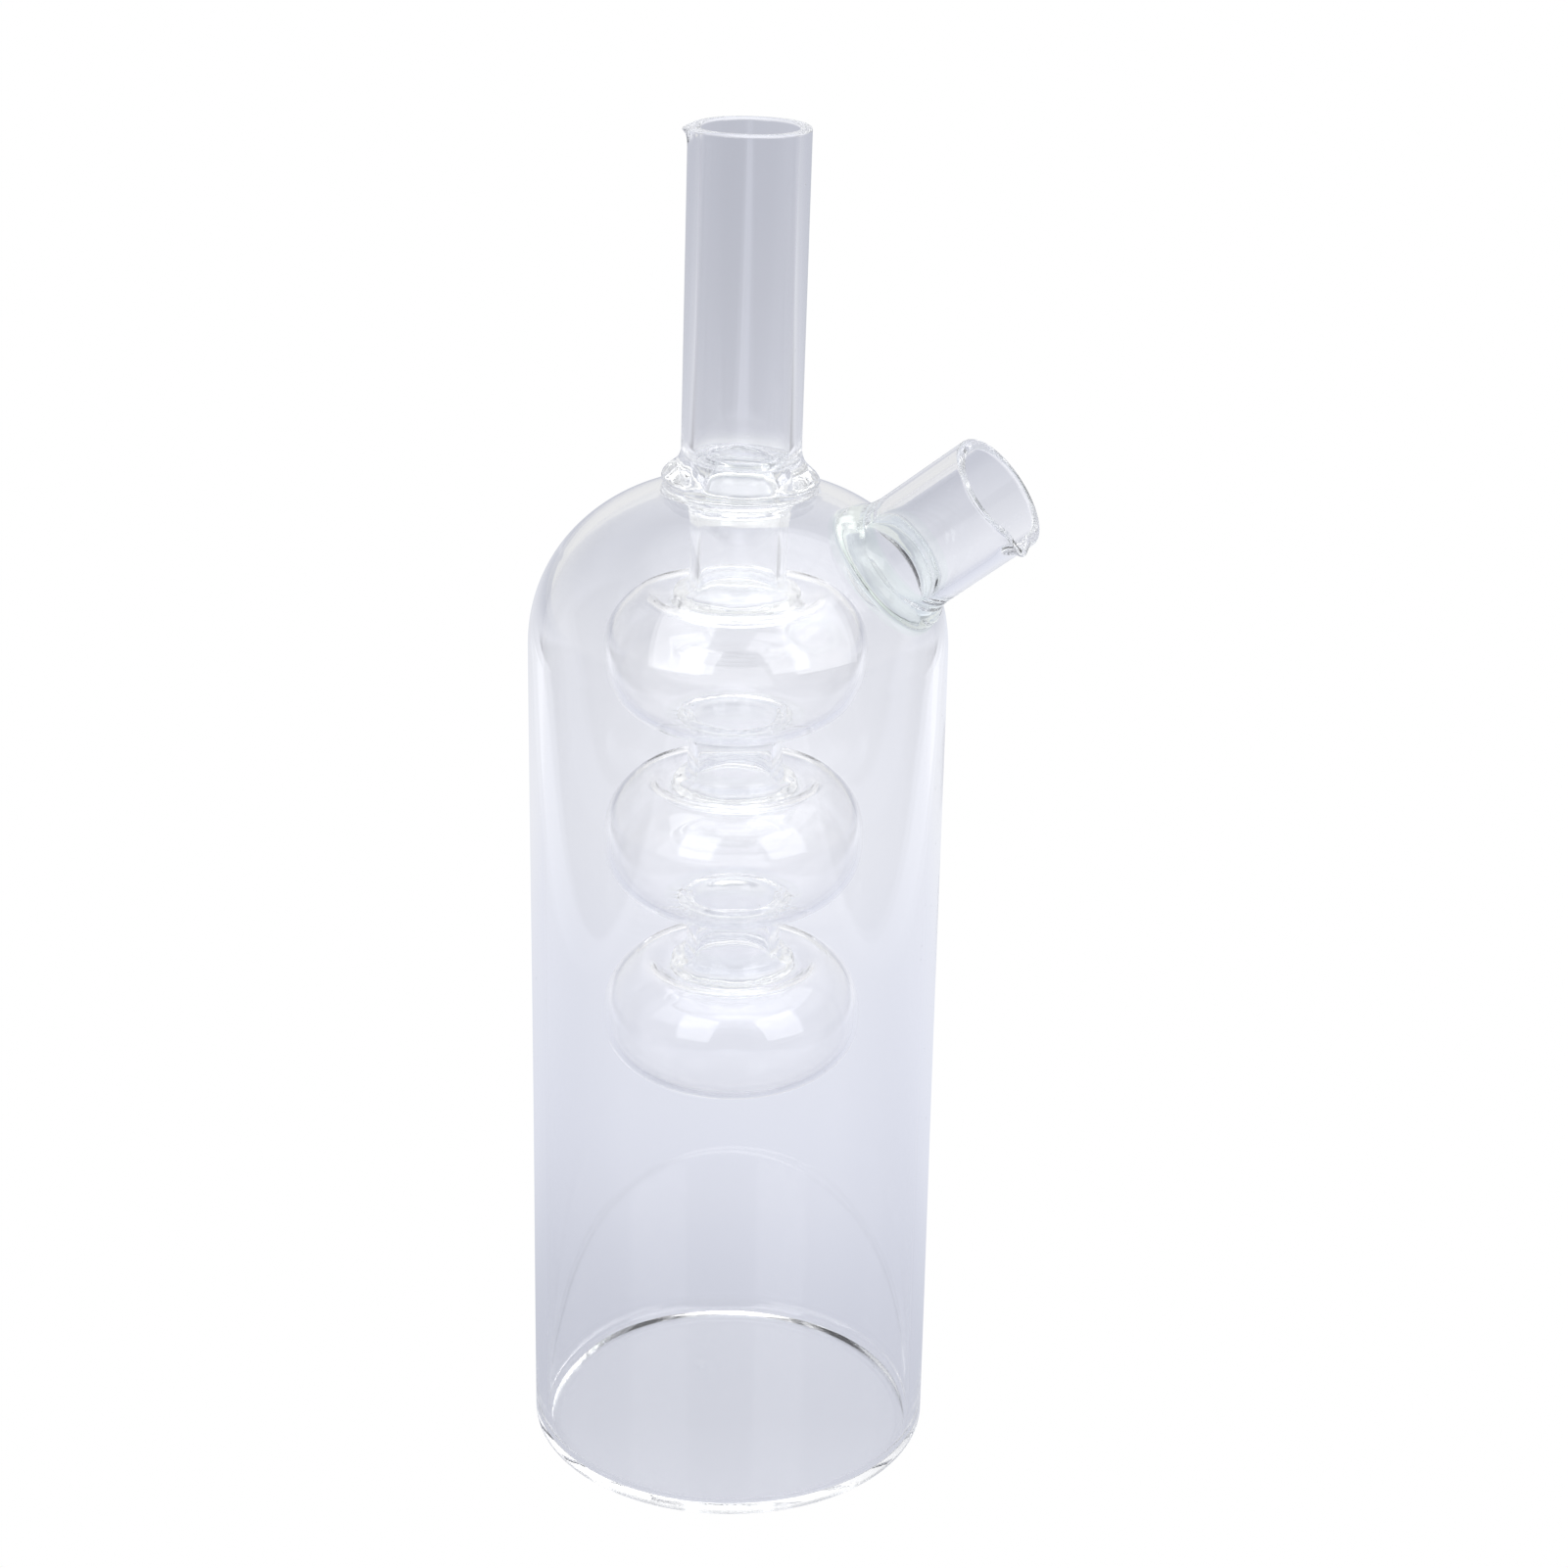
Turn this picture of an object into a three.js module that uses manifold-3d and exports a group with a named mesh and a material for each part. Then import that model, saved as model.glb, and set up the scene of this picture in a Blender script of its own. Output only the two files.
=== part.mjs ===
// Two-chamber glass cruet: an outer cylindrical bottle with a slanted side
// spout, and inside it a stem with three bulbs that hangs from the tall neck.
// Millimetres, +Z up along the bottle's axis, origin at the centre of the
// underside, side spout in the XZ plane toward +X.
import * as THREE from 'three';
import { mergeVertices } from 'three/addons/utils/BufferGeometryUtils.js';
import Module from 'manifold-3d';

const wasm = await Module();
wasm.setup();

// ---- driving dimensions ----------------------------------------------------
const TOTAL_H = 250;          // underside to the neck's rim
const BODY_R = 37.5;          // outside radius of the bottle
const BODY_WALL = 2.3;
const FLOOR_T = 1.2;          // flat bottom
const HEEL_R = 1.9;           // rounded outside edge of the bottom
const HEEL_INNER_R = 3.0;     // rounded inside corner where wall meets floor
const SHOULDER_Z = 157.6;     // where the straight wall turns into the dome
const SHOULDER_K0 = 16.75;    // dome curve handle at the wall
const SHOULDER_K1 = 11.0;     // dome curve handle at the neck
const SHOULDER_SLOPE = 0.199; // dome slope at the neck, radians
const SEAL_R = 14.0;          // outside radius of the neck's weld collar
const SEAL_Z = 186.4;         // height of the collar's outer edge
const NECK_R = 10.6;          // outside radius of the neck tube
const NECK_WALL = 2.1;
const NECK_Z = 193.6;         // bottom end of the neck tube
const SEAL_DROP = 4.8;        // how far the collar runs down the stem
const STEM_R = 8.6;           // outside radius of the inner stem and link tubes
const STEM_WALL = 1.7;
const RING_R = 12.2;          // where a bulb meets the ring above it
const RING_LOW_R = 13.2;      // where a bulb meets the ring below it
const CROWN_R = 18.2;         // outer foot of the fold round a bulb's crown
const JOINT_UP = 2.9;         // joint with the tube above, over the ring's height
const JOINT_DOWN = 3.8;       // joint with the tube below, under the ring's height
const BULB_R = 23.7;          // bulb equator radius
const BULB_WALL = 1.05;
const BULB_EXP = 2.35;        // roundness exponent of a bulb's section
const SPOUT_TILT = 39.1;      // spout axis above the horizontal, degrees
const SPOUT_AXIS_Z = 152.7;   // where the spout axis crosses the bottle axis
const SPOUT_R = 10.6;         // outside radius of the spout tube
const SPOUT_WALL = 2.1;
const SPOUT_S0 = 42.9;        // spout tube start, measured along its axis
const SPOUT_S1 = 62.4;        // spout mouth, measured along its axis
const SPOUT_SEAL_R = 12.5;    // outside radius of the spout's weld collar
const GAP = 0.3;              // clearance between cut or turned neighbours
const NECK_LIP_AZ = 205;      // direction of the neck's pouring lip, degrees
const SPOUT_LIP_AZ = -28;     // around the spout from its lowest line, degrees
const RIM = 0.62;             // height of the fire-polished rounding at both mouths
const LIP_OUT = 2.0;          // how far a pouring lip is drawn outward

// bulbs, from the top: equator height, height above it, depth below it,
// heights of the ring above and of the ring below
const BULBS = [
  { name: 'upper', zc: 156.3, up: 14.8, dn: 15.0, ringTop: 167.9, ringBot: 143.2 },
  { name: 'middle', zc: 121.3, up: 15.2, dn: 15.2, ringTop: 132.4, ringBot: 109.2 },
  { name: 'lower', zc: 86.0, up: 14.6, dn: 13.2, ringTop: 97.1, ringBot: null },
];

// ---- helpers ---------------------------------------------------------------
const V = (r, z) => new THREE.Vector2(r, z);

function signedVolume(g) {
  const p = g.attributes.position, ix = g.index;
  const a = new THREE.Vector3(), b = new THREE.Vector3(), c = new THREE.Vector3();
  let v = 0;
  for (let i = 0; i < ix.count; i += 3) {
    a.fromBufferAttribute(p, ix.getX(i));
    b.fromBufferAttribute(p, ix.getX(i + 1));
    c.fromBufferAttribute(p, ix.getX(i + 2));
    v += a.dot(b.cross(c)) / 6;
  }
  return v;
}

function faceOut(g) {
  if (signedVolume(g) < 0) {
    const ix = g.index.array;
    for (let i = 0; i < ix.length; i += 3) { const t = ix[i]; ix[i] = ix[i + 1]; ix[i + 1] = t; }
  }
  return g;
}

// Solid of revolution about +Z. A ring's profile is closed on itself; a
// profile that reaches the axis starts and ends there.
function revolve(profile, segments) {
  const pts = profile.map(([r, z]) => V(r, z));
  const onAxis = profile[0][0] === 0 && profile[profile.length - 1][0] === 0;
  if (!onAxis) pts.push(V(profile[0][0], profile[0][1]));
  let g = new THREE.LatheGeometry(pts, segments);
  g.deleteAttribute('normal');
  g.deleteAttribute('uv');
  g.rotateX(Math.PI / 2);
  g = mergeVertices(g, 1e-4);
  const p = g.attributes.position, keep = [], ix = g.index.array;
  for (let i = 0; i < ix.length; i += 3) {
    if (ix[i] !== ix[i + 1] && ix[i + 1] !== ix[i + 2] && ix[i] !== ix[i + 2]) keep.push(ix[i], ix[i + 1], ix[i + 2]);
  }
  const out = new THREE.BufferGeometry();
  out.setAttribute('position', p);
  out.setIndex(keep);
  return faceOut(out);
}

function toManifold(g) {
  return new wasm.Manifold(new wasm.Mesh({
    numProp: 3,
    vertProperties: new Float32Array(g.attributes.position.array),
    triVerts: new Uint32Array(g.index.array),
  }));
}

function fromManifold(m) {
  const mesh = m.getMesh(), n = mesh.vertProperties.length / mesh.numProp;
  const pos = new Float32Array(n * 3);
  for (let i = 0; i < n; i++) for (let k = 0; k < 3; k++) pos[3 * i + k] = mesh.vertProperties[i * mesh.numProp + k];
  const g = new THREE.BufferGeometry();
  g.setAttribute('position', new THREE.BufferAttribute(pos, 3));
  g.setIndex(new THREE.BufferAttribute(new Uint32Array(mesh.triVerts), 1));
  return g;
}

// Draws one pouring lip outward and slightly down at the rim of an upright
// tube whose mouth is at z = top.
function drawLip(g, top, azimuthDeg, out, halfWidthDeg, depth) {
  const p = g.attributes.position, az = THREE.MathUtils.degToRad(azimuthDeg);
  for (let i = 0; i < p.count; i++) {
    const x = p.getX(i), y = p.getY(i), z = p.getZ(i), r = Math.hypot(x, y);
    let d = Math.atan2(y, x) - az;
    d = Math.atan2(Math.sin(d), Math.cos(d));
    const w = Math.exp(-Math.pow(d / THREE.MathUtils.degToRad(halfWidthDeg), 2));
    const h = Math.exp(-Math.pow((top - z) / depth, 2));
    const k = out * w * h;
    p.setXYZ(i, x * (r + k) / r, y * (r + k) / r, z - 0.35 * k);
  }
  return g;
}

// Fire-polished tube: inner and outer radius, from z0 to z1, round rim at z1.
function tubeProfile(rOut, wall, z0, z1, levels) {
  const ri = rOut - wall, h = wall / 2, prof = [[ri, z0], [rOut, z0]];
  for (const z of levels) prof.push([rOut, z]);
  for (let i = 0; i <= 4; i++) {
    const a = (Math.PI * i) / 4;
    prof.push([rOut - h + h * Math.cos(a), z1 - RIM + RIM * Math.sin(a)]);
  }
  for (const z of [...levels].reverse()) prof.push([ri, z]);
  return prof;
}

const sin = (d) => Math.sin(THREE.MathUtils.degToRad(d));
const cos = (d) => Math.cos(THREE.MathUtils.degToRad(d));

// Moves a piece made along +Z (z = distance along the spout) onto the spout axis.
function ontoSpout(g) {
  g.rotateY(THREE.MathUtils.degToRad(90 - SPOUT_TILT));
  g.translate(0, 0, SPOUT_AXIS_Z);
  return g;
}

// ---- dome section ----------------------------------------------------------
function domeOuter(n) {
  const p0 = V(BODY_R, SHOULDER_Z), p3 = V(SEAL_R, SEAL_Z);
  const p1 = V(BODY_R, SHOULDER_Z + SHOULDER_K0);
  const p2 = V(SEAL_R + SHOULDER_K1 * Math.cos(SHOULDER_SLOPE), SEAL_Z - SHOULDER_K1 * Math.sin(SHOULDER_SLOPE));
  const c = new THREE.CubicBezierCurve(p0, p1, p2, p3), pts = [];
  for (let i = 0; i <= n; i++) {
    const t = i / n, q = c.getPoint(t), d = c.getTangent(t);
    pts.push({ r: q.x, z: q.y, nr: d.y, nz: -d.x });
  }
  return pts;
}
const DOME = domeOuter(9);
const domeOut = DOME.map((q) => [q.r, q.z]);
const domeInRaw = DOME.map((q) => [q.r - BODY_WALL * q.nr, q.z - BODY_WALL * q.nz]);
// the inside skin stops at the collar's radius
const domeIn = domeInRaw.filter((q) => q[0] > SEAL_R + 0.4);
const lastIn = domeIn[domeIn.length - 1];
const nextIn = domeInRaw[domeIn.length];
const tIn = (lastIn[0] - SEAL_R) / (lastIn[0] - nextIn[0]);
const SEAL_IN_Z = lastIn[1] + tIn * (nextIn[1] - lastIn[1]);
domeIn.push([SEAL_R, SEAL_IN_Z]);
domeIn[0] = [BODY_R - BODY_WALL, SHOULDER_Z];

// ---- outer bottle ----------------------------------------------------------
const SEG = 44;

// The heel's curve is shared: the disc ends level with the floor's top.
const HEEL_A = Math.acos((HEEL_R - FLOOR_T) / HEEL_R);
function heel(a) {
  return [BODY_R - HEEL_R + HEEL_R * Math.sin(a), HEEL_R - HEEL_R * Math.cos(a)];
}

function baseDisc() {
  const prof = [[0, 0]];
  for (let i = 0; i < 4; i++) prof.push(heel((HEEL_A * i) / 4));
  prof.push([heel(HEEL_A)[0], FLOOR_T], [0, FLOOR_T]);
  return revolve(prof, SEG);
}

function bodyWall() {
  const ri = BODY_R - BODY_WALL, f = HEEL_INNER_R, prof = [[heel(HEEL_A)[0], FLOOR_T], heel((HEEL_A + Math.PI / 2) / 2), [BODY_R, HEEL_R],
    [BODY_R, 40], [BODY_R, 80], [BODY_R, 120], [BODY_R, SHOULDER_Z], [ri, SHOULDER_Z], [ri, 120], [ri, 80], [ri, 40]];
  for (let i = 0; i <= 5; i++) {
    const a = (Math.PI / 2) * (i / 5);
    prof.push([ri - f + f * Math.cos(a), FLOOR_T + f - f * Math.sin(a)]);
  }
  return revolve(prof, SEG);
}

function shoulderDome() {
  const body = toManifold(revolve([...domeOut, ...[...domeIn].reverse()], SEG));
  const r = SPOUT_SEAL_R + GAP;
  const hole = toManifold(ontoSpout(revolve([[0, 20], [r, 20], [r, 50], [0, 50]], SEG)));
  return fromManifold(body.subtract(hole));
}

// ---- neck ------------------------------------------------------------------
const NECK_IN = NECK_R - NECK_WALL, STEM_IN = STEM_R - STEM_WALL;

// Bead outside, funnel inside, fillet down onto the stem.
function neckSeal() {
  const z = SEAL_IN_Z;
  return revolve([
    [STEM_IN, z - SEAL_DROP], [STEM_R, z - SEAL_DROP], [8.95, z - 2.2], [9.45, z - 1.05], [10.2, z - 0.2], [11.1, z + 0.3], [12.1, z + 0.38], [13.1, z + 0.22],
    [SEAL_R, z], [SEAL_R, SEAL_Z],
    [13.52, 187.0], [13.86, 188.0], [13.93, 188.5], [13.15, 189.6], [11.75, 190.85], [10.82, 192.5], [NECK_R, NECK_Z],
    [NECK_IN, NECK_Z], [NECK_IN, 190.6], [8.0, 189.4], [7.2, 188.2], [STEM_IN, 186.8],
  ], SEG);
}

function neckTube() {
  const g = revolve(tubeProfile(NECK_R, NECK_WALL, NECK_Z, TOTAL_H, [240, 245, 247.4]), SEG);
  return drawLip(g, TOTAL_H, NECK_LIP_AZ, LIP_OUT * 0.75, 11, 2.2);
}

// ---- spout -----------------------------------------------------------------
const SPOUT_IN = SPOUT_R - SPOUT_WALL;

function spoutSeal() {
  const ring = toManifold(ontoSpout(revolve([
    [SPOUT_IN, 30], [SPOUT_SEAL_R, 30], [SPOUT_SEAL_R, 37.6], [12.4, 38.2], [11.8, 39.0], [11.1, 40.1], [10.75, 41.6],
    [SPOUT_R, SPOUT_S0 - GAP], [SPOUT_IN, SPOUT_S0 - GAP],
  ], SEG)));
  // its inner end is trimmed to the inside skin of the dome
  const cavity = toManifold(revolve([[0, 100], [BODY_R - BODY_WALL, 100], ...domeIn, [0, SEAL_IN_Z]], SEG));
  return fromManifold(ring.subtract(cavity));
}

function spoutTube() {
  const L = SPOUT_S1;
  const g = revolve(tubeProfile(SPOUT_R, SPOUT_WALL, SPOUT_S0, L, [L - 9, L - 5, L - 2.6]), SEG);
  drawLip(g, L, SPOUT_LIP_AZ, LIP_OUT, 12, 2.4);
  return ontoSpout(g);
}

// ---- inner stem, rings, links and bulbs ------------------------------------
const SEG_IN = 32;

function tube(z0, z1) {
  return revolve([[STEM_IN, z0], [STEM_R, z0], [STEM_R, z1], [STEM_IN, z1]], SEG_IN);
}

function bulbZ(b, r, up) {
  return b.zc + (up ? b.up : -b.dn) * Math.pow(Math.max(0, 1 - Math.pow(r / BULB_R, BULB_EXP)), 1 / BULB_EXP);
}

// Height of the flat foot where a bulb's crown meets the ring above it.
const footZ = (b) => bulbZ(b, CROWN_R, true) - 1.35;

// Thick ring above a bulb: narrow at the tube, widest where the bulb starts.
function topRing(b) {
  const t = b.ringTop, v = footZ(b), e = v - BULB_WALL, a = t - 1.45;
  return revolve([
    [STEM_IN, t + JOINT_UP], [7.12, t + 0.8], [7.5, t - 0.05], [8.1, t - 0.8], [8.85, a], [9.7, a + 0.52 * (e - a)], [10.6, a + 0.87 * (e - a)], [11.4, e], [RING_R, e],
    [RING_R, v], [11.48, v + 0.13], [11.3, v + 0.55], [11.33, t - 0.6], [11.15, t], [10.65, t + 0.5], [9.95, t + 0.72], [9.3, t + 0.95], [8.86, t + 1.5], [STEM_R, t + JOINT_UP],
  ], SEG_IN);
}

// The slanted joint face where a bulb meets the ring below it, outside and inside.
function lowFoot(b) {
  const z = bulbZ(b, RING_LOW_R, false), s = (bulbZ(b, RING_LOW_R + 0.01, false) - z) / 0.01, l = Math.hypot(1, s);
  return [[RING_LOW_R, z], [RING_LOW_R - (BULB_WALL * s) / l, z + BULB_WALL / l]];
}

// Ring below a bulb, where the link tube is joined on: a low bead inside.
function bottomRing(b) {
  const foot = lowFoot(b), lift = foot[0][1] - b.ringBot + 1.32;
  const at = ([r, dz, w]) => [r, b.ringBot + dz + w * lift];
  return revolve([
    foot[0], ...[[12.2, -1.48, 1], [11.2, -1.6, 1], [10.3, -1.66, 1], [9.65, -1.8, 0.85], [9.12, -2.06, 0.6], [8.82, -2.45, 0.35]].map(at),
    [STEM_R, b.ringBot - JOINT_DOWN], [STEM_IN, b.ringBot - JOINT_DOWN],
    ...[[7.08, -1.9, 0.15], [7.4, -1.36, 0.35], [7.9, -1.02, 0.55], [8.4, -0.76, 0.7], [8.8, -0.4, 0.8], [9.1, 0.0, 0.85], [9.45, 0.2, 0.9], [9.85, 0.1, 0.95], [10.2, -0.18, 1], [10.6, -0.43, 1], [11.2, -0.5, 1], [12.0, -0.44, 1]].map(at),
    foot[1],
  ], SEG_IN);
}

function bulbQuarter(b, up, r0, r1, n) {
  const pts = [];
  for (let i = 0; i <= n; i++) {
    const r = r0 + (r1 - r0) * Math.sin((Math.PI / 2) * (i / n));
    pts.push([r, bulbZ(b, r, up)]);
  }
  return pts;
}

function bulb(b) {
  // outside skin, from the upper ring over the crown's fold, round the equator and back
  const w = BULB_WALL, v = footZ(b), c = v + 1.35;
  const out = [[RING_R, v], [12.8, v + 0.22], [13.4, v + 0.7], [14.1, v + 1.27], [14.9, c + 0.42], [15.75, c + 0.68], [16.6, c + 0.68], [17.4, c + 0.44]];
  out.push(...bulbQuarter(b, true, CROWN_R, BULB_R, 5));
  if (b.ringBot === null) out.push(...bulbQuarter(b, false, 0, BULB_R, 7).slice(0, -1).reverse());
  else out.push(...bulbQuarter(b, false, RING_LOW_R, BULB_R, 5).slice(0, -1).reverse());
  // inside skin: the outside one moved inward along its normals
  const inn = [[RING_R, v - w]];
  for (let i = 1; i < out.length - 1; i++) {
    const dr = out[i + 1][0] - out[i - 1][0], dz = out[i + 1][1] - out[i - 1][1], l = Math.hypot(dr, dz);
    inn.push([out[i][0] + (w * dz) / l, out[i][1] - (w * dr) / l]);
  }
  if (b.ringBot === null) {
    inn.push([0, b.zc - b.dn + w]);
    return revolve([...out.reverse(), ...inn], SEG_IN);
  }
  inn.push(lowFoot(b)[1]);
  return revolve([...out, ...inn.reverse()], SEG_IN);
}

// ---- assembly --------------------------------------------------------------
const group = new THREE.Group();
group.name = 'dual_oil_and_vinegar_dispenser';

function add(name, geometry, color) {
  const m = new THREE.Mesh(geometry, new THREE.MeshStandardMaterial({ color, roughness: 0.03, metalness: 0.0, transparent: true, opacity: 0.35 }));
  m.name = name;
  group.add(m);
}

const CLEAR = 0xd6dae4, CORE = 0xdde1e9, SEAM = 0xcfdcd6;
add('base_disc', baseDisc(), CLEAR);
add('body_wall', bodyWall(), CLEAR);
add('shoulder_dome', shoulderDome(), CLEAR);
add('neck_seal_ring', neckSeal(), SEAM);
add('neck_tube', neckTube(), CLEAR);
add('spout_seal_ring', spoutSeal(), SEAM);
add('spout_tube', spoutTube(), CLEAR);
add('inner_stem', tube(BULBS[0].ringTop + JOINT_UP, SEAL_IN_Z - SEAL_DROP), CORE);
add('upper_bulb_top_ring', topRing(BULBS[0]), SEAM);
add('upper_bulb', bulb(BULBS[0]), CORE);
add('upper_bulb_bottom_ring', bottomRing(BULBS[0]), SEAM);
add('upper_link_tube', tube(BULBS[1].ringTop + JOINT_UP, BULBS[0].ringBot - JOINT_DOWN), CORE);
add('middle_bulb_top_ring', topRing(BULBS[1]), SEAM);
add('middle_bulb', bulb(BULBS[1]), CORE);
add('middle_bulb_bottom_ring', bottomRing(BULBS[1]), SEAM);
add('lower_link_tube', tube(BULBS[2].ringTop + JOINT_UP, BULBS[1].ringBot - JOINT_DOWN), CORE);
add('lower_bulb_top_ring', topRing(BULBS[2]), SEAM);
add('lower_bulb', bulb(BULBS[2]), CORE);

export default group;
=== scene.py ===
# Two-chamber glass cruet in a pale studio. The glass is meshed from two long
# skins of revolution, the outside one and the one that faces the outer
# chamber, cut where one named piece ends and the next starts.
import math

import bpy
import numpy as np
from mathutils import Matrix, Vector
from mathutils.geometry import delaunay_2d_cdt


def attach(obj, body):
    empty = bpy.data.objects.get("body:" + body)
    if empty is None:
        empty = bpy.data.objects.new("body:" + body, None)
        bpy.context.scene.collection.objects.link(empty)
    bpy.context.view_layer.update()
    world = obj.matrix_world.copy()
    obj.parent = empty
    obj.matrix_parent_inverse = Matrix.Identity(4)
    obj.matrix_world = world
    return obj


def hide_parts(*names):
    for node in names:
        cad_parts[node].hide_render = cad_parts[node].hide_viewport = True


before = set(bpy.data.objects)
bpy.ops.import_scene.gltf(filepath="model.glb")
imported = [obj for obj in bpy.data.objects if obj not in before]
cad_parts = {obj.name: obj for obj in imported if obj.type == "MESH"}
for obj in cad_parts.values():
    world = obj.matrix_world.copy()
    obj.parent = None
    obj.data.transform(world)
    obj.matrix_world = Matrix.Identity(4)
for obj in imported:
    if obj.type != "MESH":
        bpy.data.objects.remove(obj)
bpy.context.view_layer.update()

MM = 0.001
BODY = "root"
CAM_AZ = math.radians(24.5)  # the camera stands this far round toward the spout

# ---------------------------------------------------------------- dimensions
BODY_R, WALL, FLOOR_T = 37.5, 2.3, 1.2
HEEL_R, HEEL_IN_R = 1.9, 3.0
SH_Z, SH_K0, SH_K1, SH_SLOPE = 157.6, 16.75, 11.0, 0.199
SEAL_R, SEAL_Z = 14.0, 186.4
NECK_R, NECK_IN, TOP = 10.6, 8.5, 250.0
STEM_R, STEM_IN = 8.6, 6.9
BULB_R, BULB_EXP = 23.7, 2.35
BULBS = [
    dict(name="upper", zc=156.3, up=14.8, dn=15.0, top=167.9, bot=143.2),
    dict(name="middle", zc=121.3, up=15.2, dn=15.2, top=132.4, bot=109.2),
    dict(name="lower", zc=86.0, up=14.6, dn=13.2, top=97.1, bot=None),
]
TILT = math.radians(39.1)
AXIS_Z = 152.7
SP_R, SP_IN, SP_END = 10.6, 8.5, 62.4
HOLE_R = 13.6  # where the spout's patch takes over from the dome's own grid


def columns(n, az, width, gain=2.0):
    """n azimuths round the circle, closer together near az (degrees)."""
    t = np.linspace(0, 2 * math.pi, 7201)
    d = np.arctan2(np.sin(t - math.radians(az)), np.cos(t - math.radians(az)))
    w = 1 + gain * np.exp(-((d / math.radians(width)) ** 2))
    c = np.concatenate([[0], np.cumsum((w[1:] + w[:-1]) / 2)])
    return np.interp(np.arange(n) / n, c / c[-1], t)


PHI = columns(216, 205, 16)
ALF = columns(192, -28, 16)
NPHI, NSP = len(PHI), len(ALF)
E1 = np.array([math.sin(TILT), 0, -math.cos(TILT)])
E2 = np.array([0.0, 1.0, 0.0])
E3 = np.array([math.cos(TILT), 0, math.sin(TILT)])
ORG = np.array([0, 0, AXIS_Z])


# ---------------------------------------------------------------- 2-D curves
def line(p, q, n):
    t = np.linspace(0, 1, n)[:, None]
    return (1 - t) * np.array(p, float) + t * np.array(q, float)


def arc(cx, cz, r, a0, a1, n):
    a = np.radians(np.linspace(a0, a1, n))
    return np.stack([cx + r * np.cos(a), cz + r * np.sin(a)], -1)


def spline(pts, per=8, before=None, after=None):
    """Centripetal Catmull-Rom curve through the points; before and after are the neighbours beyond its ends."""
    p = np.array(pts, float)
    p = np.vstack([2 * p[0] - p[1] if before is None else np.array(before, float), p, 2 * p[-1] - p[-2] if after is None else np.array(after, float)])
    out = []
    for i in range(1, len(p) - 2):
        p0, p1, p2, p3 = p[i - 1], p[i], p[i + 1], p[i + 2]
        t0 = 0.0
        t1 = t0 + max(1e-6, np.linalg.norm(p1 - p0)) ** 0.5
        t2 = t1 + max(1e-6, np.linalg.norm(p2 - p1)) ** 0.5
        t3 = t2 + max(1e-6, np.linalg.norm(p3 - p2)) ** 0.5
        t = np.linspace(t1, t2, per + 1)[:, None]
        a1 = (t1 - t) / (t1 - t0) * p0 + (t - t0) / (t1 - t0) * p1
        a2 = (t2 - t) / (t2 - t1) * p1 + (t - t1) / (t2 - t1) * p2
        a3 = (t3 - t) / (t3 - t2) * p2 + (t - t2) / (t3 - t2) * p3
        b1 = (t2 - t) / (t2 - t0) * a1 + (t - t0) / (t2 - t0) * a2
        b2 = (t3 - t) / (t3 - t1) * a2 + (t - t1) / (t3 - t1) * a3
        c = (t2 - t) / (t2 - t1) * b1 + (t - t1) / (t2 - t1) * b2
        out.append(c if i == 1 else c[1:])
    return np.vstack(out)


def rim(r_out, r_in, top, high, n):
    """Rounded rim from the outside wall over the top to the inside wall."""
    a = np.linspace(0, math.pi, n)
    return np.stack([(r_out + r_in) / 2 + (r_out - r_in) / 2 * np.cos(a), top - high + high * np.sin(a)], -1)


def offset(pts, d):
    """The curve moved d to the left of its direction."""
    g = np.gradient(pts, axis=0)
    g /= np.linalg.norm(g, axis=1)[:, None]
    return pts + d * np.stack([-g[:, 1], g[:, 0]], -1)


def dome_curve(n):
    p0 = np.array([BODY_R, SH_Z])
    p3 = np.array([SEAL_R, SEAL_Z])
    p1 = p0 + [0, SH_K0]
    p2 = p3 + [SH_K1 * math.cos(SH_SLOPE), -SH_K1 * math.sin(SH_SLOPE)]
    t = np.linspace(0, 1, n)[:, None]
    return (1 - t) ** 3 * p0 + 3 * (1 - t) ** 2 * t * p1 + 3 * (1 - t) * t * t * p2 + t**3 * p3


DOME_OUT = dome_curve(72)
_in = offset(DOME_OUT, WALL)
_in[0] = [BODY_R - WALL, SH_Z]
_k = int(np.argmax(_in[:, 0] < SEAL_R + 0.15))
_f = (_in[_k - 1, 0] - SEAL_R) / (_in[_k - 1, 0] - _in[_k, 0])
DOME_IN = np.vstack([_in[:_k], _in[_k - 1] + min(1.0, _f) * (_in[_k] - _in[_k - 1])])
DIN_END = DOME_IN[-1]


def bulb_z(b, r, up):
    h = b["up"] if up else -b["dn"]
    return b["zc"] + h * max(0.0, 1 - (r / BULB_R) ** BULB_EXP) ** (1 / BULB_EXP)


def bulb_side(b, up, r0, n):
    """From r0 to the equator."""
    a0 = math.asin(min(1.0, r0 / BULB_R))
    rs = [BULB_R * math.sin(a0 + (math.pi / 2 - a0) * i / n) for i in range(n + 1)]
    return np.array([[r, bulb_z(b, r, up)] for r in rs])


# ------------------------------------------------------------------- skins
SHELL = 1.05  # wall of a bulb
RIM = 0.62  # height of the rounding at both mouths


def bulb_skin(b):
    """Outside skin from the ring's foot over the crown and the equator to the lower joint or the pole."""
    t = b["top"]
    r1 = 18.2
    up = bulb_side(b, True, r1, 22)
    low = bulb_side(b, False, 13.2 if b["bot"] is not None else 0.0, 26 if b["bot"] is not None else 46)[::-1]
    c = up[0][1]
    v = c - 1.35
    crown = spline([[12.2, v], [12.8, v + 0.22], [13.4, v + 0.7], [14.1, v + 1.27], [14.9, c + 0.42], [15.75, c + 0.68], [16.6, c + 0.68], [17.4, c + 0.44], [r1, c]], 7, [11.7, v + 0.02], up[1])
    return np.vstack([crown, up[1:], low[1:]])


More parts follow.
